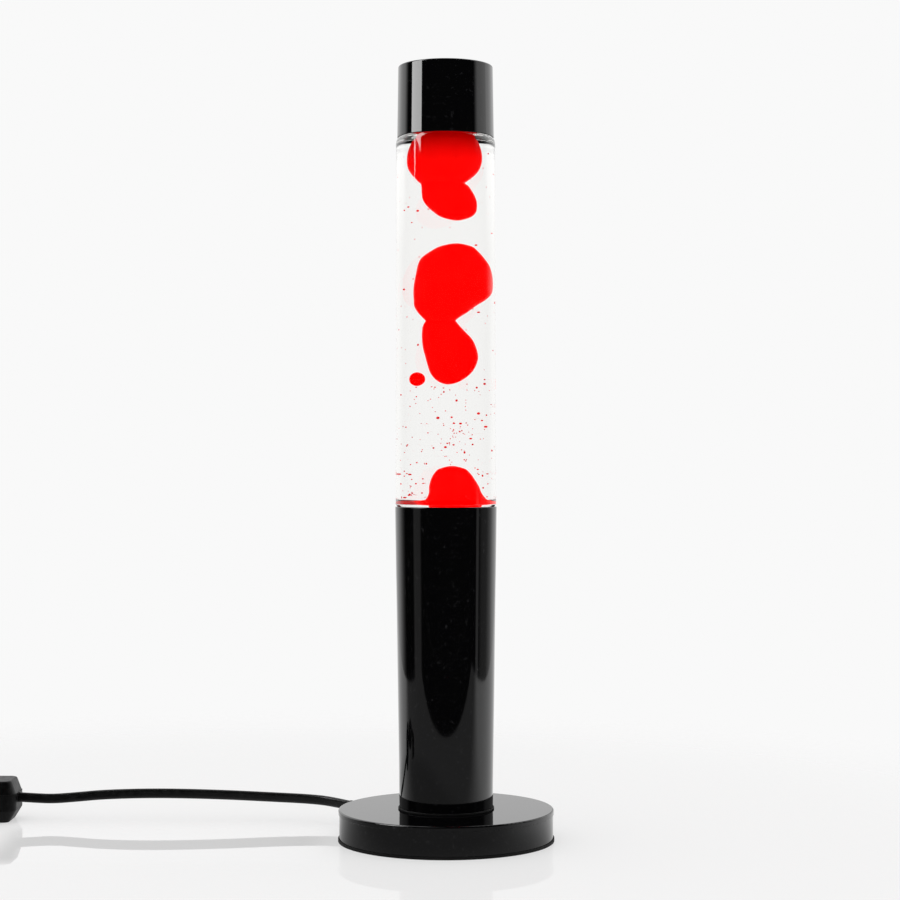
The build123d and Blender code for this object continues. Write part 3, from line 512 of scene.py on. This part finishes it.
def twin_profile():
    """Section of a flat twin cord: two round cores side by side, slightly waisted."""
    data = bpy.data.curves.new("cord_section", "CURVE")
    data.dimensions = "2D"
    spline = data.splines.new("POLY")
    core = CORD_THICKNESS / 2
    offset = (CORD_WIDTH - CORD_THICKNESS) / 2
    spline.points.add(SECTION_POINTS - 1)
    for point, angle in zip(spline.points, round_angles(SECTION_POINTS)):
        rise = abs(math.sin(angle))
        side = 1 if math.sin(angle) > 0 else -1
        waist = 1 - SECTION_WAIST * (1 - rise) ** 2
        point.co = (core * math.cos(angle) * waist,
                    core * math.sin(angle) + side * offset * min(1.0, rise * SECTION_FLAT), 0, 1)
    spline.use_cyclic_u = True
    return linked("cord_section", data)


def flat_cord(name, route, end_twist):
    """Mesh tube of the flat twin cord along a route, and the line that it follows."""
    curve = nurbs_curve(name + "_route", route)
    last = len(route) - 1
    for k, point in enumerate(curve.data.splines[0].points):
        point.tilt = math.radians(end_twist * (k / last) ** 2)
    graph = bpy.context.evaluated_depsgraph_get()
    line_mesh = bpy.data.meshes.new_from_object(curve.evaluated_get(graph))
    line = [vertex.co.copy() for vertex in line_mesh.vertices]
    section = twin_profile()
    curve.data.bevel_mode = "OBJECT"
    curve.data.bevel_object = section
    curve.data.use_fill_caps = True
    bpy.context.view_layer.update()
    graph = bpy.context.evaluated_depsgraph_get()
    mesh = bpy.data.meshes.new_from_object(curve.evaluated_get(graph))
    mesh.name = name
    mesh.shade_smooth()
    piece = linked(name, mesh)
    for helper in (curve, section):
        bpy.data.objects.remove(helper)
    return paint(piece, PVC), line


def make_leads():
    """The lead from the base to the switch, and from the switch through the coil to the plug."""
    near, near_line = flat_cord("lead_base_to_switch", CORD_BASE_SIDE_ROUTE, SWITCH_TWIST)
    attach(near, "stand")
    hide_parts("cord_base_side")

    route = CORD_SWITCH_SIDE_ROUTE + coil_route() + CORD_PLUG_SIDE_ROUTE
    far, far_line = flat_cord("lead_switch_to_plug", route, 0)
    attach(far, "stand")
    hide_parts("cord_switch_side", "cord_coil", "cord_plug_side")


make_leads()


# ------------------------------------------------------------------ smooth shells
BASE_TOP = 16.1
TUBE_FOOT, TUBE_RIM = BASE_TOP + 1.0, 170.3
CAP_FOOT, CAP_TOP = 358.6, 395.3
BORE_R = 5.1             # hole for the threaded nipple


def make_cap():
    """Gloss cap: a smooth turned shell with a softly rounded top edge."""
    cap = lathe("cap_shell", [
        (0, CAP_TOP, 0), (24.2, CAP_TOP, 0.8), (24.75, CAP_FOOT, 0.35), (23.4, CAP_FOOT, 0.3),
        (22.85, CAP_TOP - 2, 0.8), (0, CAP_TOP - 2, 0)], closed=False)
    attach(paint(cap, BLACK_MOULDED), "cap")
    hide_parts("top_cap")


def make_tube():
    """Tapered lacquered tube with a rounded rim and an inward foot flange, and the ring under it."""
    tube = lathe("tube_shell", [
        (BORE_R, TUBE_FOOT, 0), (23.85, TUBE_FOOT, 0.3), (26.0, TUBE_RIM, 0.5), (24.8, TUBE_RIM, 0.5),
        (22.67, TUBE_FOOT + 1.5, 0.5), (BORE_R, TUBE_FOOT + 1.5, 0)], closed=True)
    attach(paint(tube, BLACK_LACQUER), "stand")
    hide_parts("lower_tube")
    foot = lathe("foot_ring_shell", [
        (BORE_R, BASE_TOP, 0), (24.5, BASE_TOP, 0.2), (24.5, TUBE_FOOT, 0.35), (BORE_R, TUBE_FOOT, 0)],
        closed=True)
    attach(paint(foot, RUBBER), "stand")
    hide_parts("tube_foot_ring")


make_cap()
make_tube()


# ------------------------------------------------------------------ bottle and liquid
FILL_Z = 374.0
BOTTLE_FLOOR_Z = 160.5
SKIN_GAP = 0.03          # between the glass's inner face and the liquid's skin


def make_bottle():
    """Thick clear bottle: reduced foot, straight body, rounded shoulder and neck."""
    bottle = lathe("bottle_glass", [
        (0, 158.0, 0), (15.5, 158.0, 1.0), (18.0, 156.0, 1.0), (21.5, 156.0, 0.8), (23.0, 157.5, 0.8),
        (23.0, 168.6, 0.8), (25.05, 170.6, 0.7), (25.75, 171.4, 0.8), (25.35, 358.6, 4.6),
        (15.2, 363.2, 1.0), (14.0, 364.6, 0.8), (14.0, 381.0, 0.8), (11.6, 381.0, 0.8),
        (11.6, 362.8, 0.8), (13.1, 361.2, 1.0), (22.85, 356.4, 3.0), (23.25, 173.8, 1.0),
        (20.5, 170.4, 1.0), (20.5, 162.5, 0.8), (18.5, BOTTLE_FLOOR_Z, 0.8), (0, BOTTLE_FLOOR_Z, 0)],
        closed=False, around=GLASS_AROUND)
    bottle.data.materials.append(GLASS)
    bottle.data.materials.append(WET_GLASS)
    for face in bottle.data.polygons:
        centre = face.center / MM
        faces_axis = face.normal.x * centre.x + face.normal.y * centre.y < -0.01
        is_floor = face.normal.z > 0.9 and centre.z < BOTTLE_FLOOR_Z + 1
        if BOTTLE_FLOOR_Z - 0.01 < centre.z < FILL_Z and (faces_axis or is_floor):
            face.material_index = 1
    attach(bottle, "bottle")
    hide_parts("glass_bottle")


def make_liquid():
    """Clear liquid, filled up into the neck."""
    g = SKIN_GAP
    liquid = lathe("liquid_body", [
        (0, BOTTLE_FLOOR_Z + g, 0), (18.5 - g, BOTTLE_FLOOR_Z + g, 0.8), (20.5 - g, 162.5, 0.8),
        (20.5 - g, 170.4, 1.0), (23.25 - g, 173.8, 1.0), (22.85 - g, 356.4 - g, 3.0),
        (13.1 - g, 361.2 - g, 1.0), (11.6 - g, 362.8 - g, 0.8), (11.6 - g, FILL_Z, 0.3),
        (0, FILL_Z, 0)], closed=False, around=GLASS_AROUND)
    liquid.data.materials.append(LIQUID_SIDE)
    liquid.data.materials.append(LIQUID_TOP)
    for face in liquid.data.polygons:
        if face.center.z / MM > FILL_Z - 0.05:
            face.material_index = 1
    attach(liquid, "bottle")
    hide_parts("liquid")


make_bottle()
make_liquid()


# ------------------------------------------------------------------ wax
WAX_AROUND = 96
WAX_STEPS = 6            # rings from one section to the next
WAX_TIP = 0.02           # half-width in mm below which a body ends in a point
WAX_SWELL_ROUND, WAX_SWELL_UP = 0.9, 0.05             # how fast its unevenness changes, round and up it
BEAD_PLACE = (-13.0, -12.5, 0)

SPECK_COUNT, SPECK_SEED = 270, 11
SPECK_LOWEST, SPECK_SPAN, SPECK_SINKING = 174.5, 180, 1.7     # heights in mm; sinking crowds them low
SPECK_REACH = 19.5
SPECK_SPARSE_Z, SPECK_SPARSE_SHARE = 235, 0.5         # share left out on the left, above this height
SPECK_SMALLEST, SPECK_GROWTH = 0.20, 0.36
SPECK_STRETCH = (0.85, 1.25)
SPECK_ROWS, SPECK_COLUMNS = 5, 8

# Lowest, highest, centre x, centre y and radius of each place that large wax fills or drifts through, in mm
WAX_PLACES = (
    (160, 193, 2.5, 0.0, 13.0), (201, 244, -13.0, -12.5, 4.8), (213, 243, 1.5, 0.0, 11.3),
    (242, 313, 1.5, 0.0, 17.0), (315, 341, 1.5, 0.0, 11.8), (334, 374, 0.0, 0.0, 15.5))


def wax_piece(name, body, sections, seed, unevenness=0.02):
    """Wax body from (height, centre x, half-width) sections in mm, which start and end in a smooth tip."""
    knots = [Vector(section) for section in sections]
    before, after = (Vector((knot.x, knot.y, -knot.z)) for knot in (knots[1], knots[-2]))
    chain = through([before] + knots + [after], WAX_STEPS)[WAX_STEPS:-WAX_STEPS]
    vertices, rings = [], []
    own_noise = Vector((seed * 7.3, seed * 3.1, 0))
    angles = round_angles(WAX_AROUND)
    for height, centre, half in chain:
        if half < WAX_TIP:
            add_ring(vertices, rings, [(centre, 0, height)])
            continue
        ring = []
        for angle in angles:
            across, deep = math.cos(angle), math.sin(angle)
            sample = Vector((across * WAX_SWELL_ROUND, deep * WAX_SWELL_ROUND, height * WAX_SWELL_UP))
            sample += own_noise
            swell = 1 + unevenness * noise.noise(sample) * abs(deep)
            ring.append((centre + half * across * swell, half * deep * swell, height))
        add_ring(vertices, rings, ring)
    piece = new_object(name, vertices, ring_faces(rings), weighted=False)
    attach(paint(piece, WAX), body)
    return piece


def make_wax():
    """The four bodies of wax: under the neck, rising, loose bead, and the pool with its mound."""
    top = wax_piece("wax_under_neck", "bottle", [
        (315.8, 4.2, 0), (317.4, 3.9, 5.2), (320.0, 3.5, 7.9), (323.4, 2.4, 9.5), (326.6, 1.5, 10.1),
        (330.0, 0.7, 9.75), (333.3, -0.2, 8.95), (334.9, -1.1, 8.4), (336.1, -1.1, 9.4),
        (339.5, -0.7, 12.0), (343.0, -0.6, 13.6), (347.0, -0.4, 14.2), (351.5, -0.3, 13.9),
        (356.0, -0.2, 12.6), (360.5, 0, 10.9), (364.0, 0, 10.0), (368.0, 0, 9.4), (371.6, 0, 6.4),
        (373.0, 0, 0)], seed=1)
    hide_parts("wax_top")
    lobe = wax_piece("wax_rising", "wax_lobe", [
        (232.4, 0.9, 0), (233.2, 1.1, 2.9), (235.2, 1.4, 5.5), (238.2, 1.9, 7.7), (242.0, 2.3, 9.15),
        (246.4, 2.3, 10.0), (251.0, 1.5, 10.1), (255.5, 0.5, 9.5), (259.5, -0.9, 8.1),
        (262.6, -1.75, 6.8), (264.1, -1.9, 6.05), (264.8, -1.95, 5.7), (265.5, -1.95, 6.1),
        (266.8, -1.8, 7.2), (269.2, -1.2, 9.4), (272.4, -0.3, 11.6), (276.0, 1.6, 13.7),
        (279.6, 2.7, 14.9), (284.2, 3.1, 15.0), (289.0, 3.3, 14.5), (293.4, 3.1, 13.6),
        (297.0, 2.8, 11.9), (300.4, 3.4, 8.9), (302.8, 4.0, 5.8), (304.2, 4.2, 0)], seed=2)
    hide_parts("wax_middle")
    bead = wax_piece("wax_loose_bead", "wax_drop", [
        (231.3, 0, 0), (231.9, 0, 2.1), (233.2, 0, 3.5), (234.9, 0, 3.9), (236.5, 0, 3.4),
        (237.7, 0, 2.1), (238.3, 0, 0)], seed=3, unevenness=0.03)
    bead.data.transform(Matrix.Translation(Vector(BEAD_PLACE) * MM))
    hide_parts("wax_bead")
    pool = wax_piece("wax_molten_pool", "bottle", [
        (160.8, 0, 0), (161.0, 0, 9.0), (161.6, 0, 17.6), (163.4, 0, 20.1), (166.6, 0, 20.3),
        (168.4, 0, 20.3), (169.3, 0, 20.0), (169.8, 0.4, 18.4), (170.4, 1.8, 16.0),
        (171.6, 3.4, 13.7), (173.8, 3.9, 11.7), (177.0, 3.6, 10.1), (180.6, 3.1, 9.45),
        (184.4, 2.6, 8.2), (187.6, 2.4, 6.6), (189.6, 2.35, 4.7), (191.0, 2.35, 0)], seed=4)
    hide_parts("wax_pool")


def inside_wax(x, y, z):
    """True where large wax is or drifts, so that a loose speck doesn't fit."""
    return any(low < z < high and math.hypot(x - centre_x, y - centre_y) < radius
               for low, high, centre_x, centre_y, radius in WAX_PLACES)


def make_specks():
    """Tiny loose droplets of wax, densest low in the bottle and to the right."""
    draw = random.Random(SPECK_SEED)
    vertices, faces = [], []
    placed = 0
    while placed < SPECK_COUNT:
        z = SPECK_LOWEST + SPECK_SPAN * draw.random() ** SPECK_SINKING
        angle = draw.uniform(-math.pi, math.pi)
        reach = SPECK_REACH * math.sqrt(draw.random())
        x, y = reach * math.cos(angle), reach * math.sin(angle)
        if x < 0 and z > SPECK_SPARSE_Z and draw.random() < SPECK_SPARSE_SHARE:
            continue
        if inside_wax(x, y, z):
            continue
        size = SPECK_SMALLEST + SPECK_GROWTH * draw.random() ** 3
        tall = size * draw.uniform(*SPECK_STRETCH)
        rings = []
        add_ring(vertices, rings, [(x, y, z - tall)])
        for row in range(1, SPECK_ROWS):
            fall = math.pi * row / SPECK_ROWS
            add_ring(vertices, rings, [
                (x + size * math.sin(fall) * math.cos(turn), y + size * math.sin(fall) * math.sin(turn),
                 z - tall * math.cos(fall)) for turn in round_angles(SPECK_COLUMNS)])
        add_ring(vertices, rings, [(x, y, z + tall)])
        faces += ring_faces(rings)
        placed += 1
    specks = new_object("wax_specks", vertices, faces, weighted=False)
    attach(paint(specks, STRAY_WAX), "bottle")


make_wax()
make_specks()


# ------------------------------------------------------------------ studio
BACKDROP = 0.947

TABLE_FRONT, TABLE_BACK, TABLE_HALF_WIDTH = -0.75, 2.2, 1.8
TABLE_SCATTER, TABLE_GLOW, TABLE_ROUGHNESS = 0.42, 0.512, 0.01
TABLE_CENTRE_X = -0.10
TABLE_FADE = (0.30, 0.56)             # distances from the centre between which it fades into the backdrop
SHEEN, LEAD_SHEEN = 0.08, 0.22        # share that the table mirrors, and what is added under the lead
LEAD_SHEEN_X, LEAD_SHEEN_Y = (-0.235, -0.215, -0.075, -0.045), (-0.075, -0.045, 0.02, 0.05)
FILM_Z = 0.0001                       # clear film, by which light off the table's gloss is known

MIRRORED_FRONT, MIRRORED_HALF_WIDTH = -0.37, 0.68     # part of the table that the lamp's gloss mirrors
MIRRORED_SLANT, MIRRORED_Y = 0.3, (-0.09, 0.07)       # line across the table behind which it is lighter
# Painted light and shade of the mirrored table: dark glow in front of that line, light glow behind it,
# dimmer near the base
MIRRORED_DARK, MIRRORED_LIGHT = 0.29, 1.16
MIRRORED_NEAR, MIRRORED_NEAR_SHADE = (0.16, 0.24), 0.74

BOX_LOW, BOX_HIGH, BOX_AWAY = 0.505, 1.7, 0.9
LEFT_BOX_FRONT, LEFT_BOX_BACK = -0.56, -0.04
RIGHT_BOX_FRONT, RIGHT_BOX_BACK = -0.33, 0.30
TONGUE_LOW, TONGUE_FRONT, TONGUE_BACK, TONGUE_FLARE = 0.463, -0.25, -0.225, 0.03

# What gloss mirrors of the studio: degrees from the front, and heights as the sine of a direction's rise
LEFT_STRIP = ((57, 63, 76, 82), 0.28)
RIGHT_STRIPS = (((72, 75, 79, 82), 0.40), ((78, 92, 111, 125), 0.20))
BEHIND_LOW, BEHIND_HIGH, BEHIND_HIGH_FALL = (104, 138), (100, 117), (140, 170)
BEHIND_HIGH_BRIGHTNESS, BEHIND_HIGH_END = 1.45, 0.65
BEHIND_CHANGE = (0.09, 0.15)          # heights between which the low part gives way to the high one
STRIPS_BELOW, STRIPS_ABOVE = (-0.02, 0.0), (0.150, 0.157)     # the strips stop between these heights
SECOND_MIRRORING = 0.85               # loss of what is mirrored twice


def is_mirrored(tree, table_too=False):
    """One for what gloss mirrors, but not through refraction, nor in the table unless it counts too."""
    path = tree.nodes.new("ShaderNodeLightPath")
    mirrored = calculate(tree, "MULTIPLY", path.outputs["Is Glossy Ray"],
                         inverted(tree, path.outputs["Is Transmission Ray"]))
    if table_too:
        return mirrored
    films = calculate(tree, "ABSOLUTE", calculate(tree, "SUBTRACT", path.outputs["Transparent Depth"], 1.0))
    return calculate(tree, "MULTIPLY", mirrored, calculate(tree, "GREATER_THAN", films, 0.5))


def stage_plane(name, corners, made):
    """Flat stage object that isn't part of the lamp."""
    mesh = bpy.data.meshes.new(name)
    mesh.from_pydata(corners, [], [tuple(range(len(corners)))])
    mesh.materials.append(made)
    plane = linked(name, mesh)
    return plane


def table_seen(tree, x, y, distance, clear):
    """Glossy white top, mirroring more under the lead, that fades into the backdrop."""
    white = tree.nodes.new("ShaderNodeAddShader")
    scatter = add_node(tree, "ShaderNodeBsdfDiffuse", Color=(*[TABLE_SCATTER] * 3, 1))
    glow = add_node(tree, "ShaderNodeEmission", Color=(1, 1, 1, 1), Strength=TABLE_GLOW)
    tree.links.new(scatter.outputs[0], white.inputs[0])
    tree.links.new(glow.outputs[0], white.inputs[1])
    gloss = add_node(tree, "ShaderNodeBsdfGlossy", Color=(1, 1, 1, 1), Roughness=TABLE_ROUGHNESS)
    under_lead = calculate(tree, "MULTIPLY", band(tree, y, LEAD_SHEEN_Y),
                           band(tree, x, LEAD_SHEEN_X, LEAD_SHEEN))
    top = blend_shaders(tree, calculate(tree, "ADD", under_lead, SHEEN), white, gloss)
    return blend_shaders(tree, ramp(tree, distance, *TABLE_FADE), top, clear)


def table_mirrored(tree, x, y, distance, clear):
    """What the lamp's gloss mirrors of the table: a glow of painted light, darker towards the front and near
    the base by painted shade.
    """
    slanted = calculate(tree, "ADD", y, calculate(tree, "MULTIPLY", x, MIRRORED_SLANT))
    # painted light: the mirrored table's glow, with painted shade towards the front and near the base
    glow = tree.nodes.new("ShaderNodeEmission")
    tree.links.new(calculate(tree, "MULTIPLY", ramp(tree, distance, *MIRRORED_NEAR, MIRRORED_NEAR_SHADE, 1.0),
                             ramp(tree, slanted, *MIRRORED_Y, MIRRORED_DARK, MIRRORED_LIGHT)),
                   glow.inputs["Strength"])
    beyond = calculate(tree, "MAXIMUM",
                       calculate(tree, "GREATER_THAN", calculate(tree, "ABSOLUTE", x), MIRRORED_HALF_WIDTH),
                       calculate(tree, "LESS_THAN", y, MIRRORED_FRONT))
    return blend_shaders(tree, beyond, glow, clear)


def make_table():
    """White table top, with a clear film that tells light off its own gloss from the rest."""
    made, tree, output = empty_material("table_white")
    x, y, _ = coordinates(tree)
    centred = calculate(tree, "SUBTRACT", x, TABLE_CENTRE_X)
    distance = calculate(tree, "SQRT", calculate(tree, "ADD", calculate(tree, "MULTIPLY", centred, centred),
                                                 calculate(tree, "MULTIPLY", y, y)))
    clear = tree.nodes.new("ShaderNodeBsdfTransparent")
    both = blend_shaders(tree, is_mirrored(tree, table_too=True), table_seen(tree, x, y, distance, clear),
                         table_mirrored(tree, x, y, distance, clear))
    tree.links.new(both.outputs[0], output.inputs["Surface"])
    plan = ((-TABLE_HALF_WIDTH, TABLE_FRONT), (TABLE_HALF_WIDTH, TABLE_FRONT),
            (TABLE_HALF_WIDTH, TABLE_BACK), (-TABLE_HALF_WIDTH, TABLE_BACK))
    stage_plane("table_top", [(*corner, 0) for corner in plan], made)

    made, tree, output = empty_material("table_film")
    tree.links.new(tree.nodes.new("ShaderNodeBsdfTransparent").outputs[0], output.inputs["Surface"])
    film = stage_plane("table_film", [(*corner, FILM_Z) for corner in plan], made)
    film.visible_camera = False
    film.visible_shadow = False


def light_box(name, side, corners, brightness, soft):
    """Tall soft box beside the lamp, from its (y, z) corners, that only mirrors in gloss surfaces."""
    made, tree, output = empty_material(name)
    _, y, _ = coordinates(tree)
    front = min(corner[0] for corner in corners)
    glow = tree.nodes.new("ShaderNodeEmission")
    tree.links.new(ramp(tree, y, front, front + soft, 0.0, brightness), glow.inputs["Strength"])
    clear = tree.nodes.new("ShaderNodeBsdfTransparent")
    tree.links.new(blend_shaders(tree, is_mirrored(tree), clear, glow).outputs[0], output.inputs["Surface"])
    box = stage_plane(name, [(side * BOX_AWAY, *corner) for corner in corners], made)
    box.visible_camera = False
    box.visible_diffuse = False
    box.visible_transmission = False
    box.visible_shadow = False


def mirrored_studio(tree):
    """Brightness of the dark studio: strips at both sides, lighter behind, dimmer when mirrored twice."""
    x, y, z = coordinates(tree, "Generated")
    sideways = calculate(tree, "ARCTAN2", calculate(tree, "ABSOLUTE", x),
                         calculate(tree, "MULTIPLY", y, -1.0))
    degrees = calculate(tree, "MULTIPLY", sideways, 180 / math.pi)
    on_left = calculate(tree, "LESS_THAN", x, 0.0)

    left = calculate(tree, "MULTIPLY", band(tree, degrees, *LEFT_STRIP), on_left)
    right = calculate(tree, "ADD", *[band(tree, degrees, *strip) for strip in RIGHT_STRIPS])
    right = calculate(tree, "MULTIPLY", right, inverted(tree, on_left))
    off_the_glass = calculate(tree, "MAXIMUM", ramp(tree, z, *STRIPS_ABOVE),
                              ramp(tree, z, *STRIPS_BELOW, 1.0, 0.0))
    beside = calculate(tree, "MULTIPLY", calculate(tree, "ADD", left, right), off_the_glass)

    above = ramp(tree, z, *BEHIND_CHANGE)
    high = calculate(tree, "MULTIPLY", ramp(tree, degrees, *BEHIND_HIGH, 0.0, BEHIND_HIGH_BRIGHTNESS),
                     ramp(tree, degrees, *BEHIND_HIGH_FALL, 1.0, BEHIND_HIGH_END))
    behind = calculate(tree, "ADD", calculate(tree, "MULTIPLY", high, above),
                       calculate(tree, "MULTIPLY", ramp(tree, degrees, *BEHIND_LOW), inverted(tree, above)))

    path = tree.nodes.new("ShaderNodeLightPath")
    twice = calculate(tree, "GREATER_THAN", path.outputs["Glossy Depth"], 1.5)
    kept = inverted(tree, calculate(tree, "MULTIPLY", twice, SECOND_MIRRORING))
    return calculate(tree, "MULTIPLY", calculate(tree, "ADD", beside, behind), kept)


def make_world():
    """White backdrop, where what gloss surfaces mirror is the dark studio."""
    world = bpy.data.worlds.new("studio")
    bpy.context.scene.world = world
    world.use_nodes = True
    tree = world.node_tree
    tree.nodes.clear()
    output = tree.nodes.new("ShaderNodeOutputWorld")
    white = add_node(tree, "ShaderNodeBackground", Color=(1, 1, 1, 1), Strength=BACKDROP)
    studio = add_node(tree, "ShaderNodeBackground", Color=(1, 1, 1, 1))
    tree.links.new(mirrored_studio(tree), studio.inputs["Strength"])
    tree.links.new(blend_shaders(tree, is_mirrored(tree), white, studio).outputs[0],
                   output.inputs["Surface"])


make_table()
light_box("light_box_left", -1, [
    (LEFT_BOX_FRONT, BOX_LOW), (TONGUE_FRONT - TONGUE_FLARE, BOX_LOW), (TONGUE_FRONT, TONGUE_LOW),
    (TONGUE_BACK, TONGUE_LOW), (TONGUE_BACK + TONGUE_FLARE, BOX_LOW), (LEFT_BOX_BACK, BOX_LOW),
    (LEFT_BOX_BACK, BOX_HIGH), (LEFT_BOX_FRONT, BOX_HIGH)], brightness=9.0, soft=0.03)
light_box("light_box_right", 1, [
    (RIGHT_BOX_FRONT, BOX_LOW), (RIGHT_BOX_BACK, BOX_LOW), (RIGHT_BOX_BACK, BOX_HIGH),
    (RIGHT_BOX_FRONT, BOX_HIGH)], brightness=1.25, soft=0.24)
make_world()
bpy.context.scene.view_settings.view_transform = "Standard"
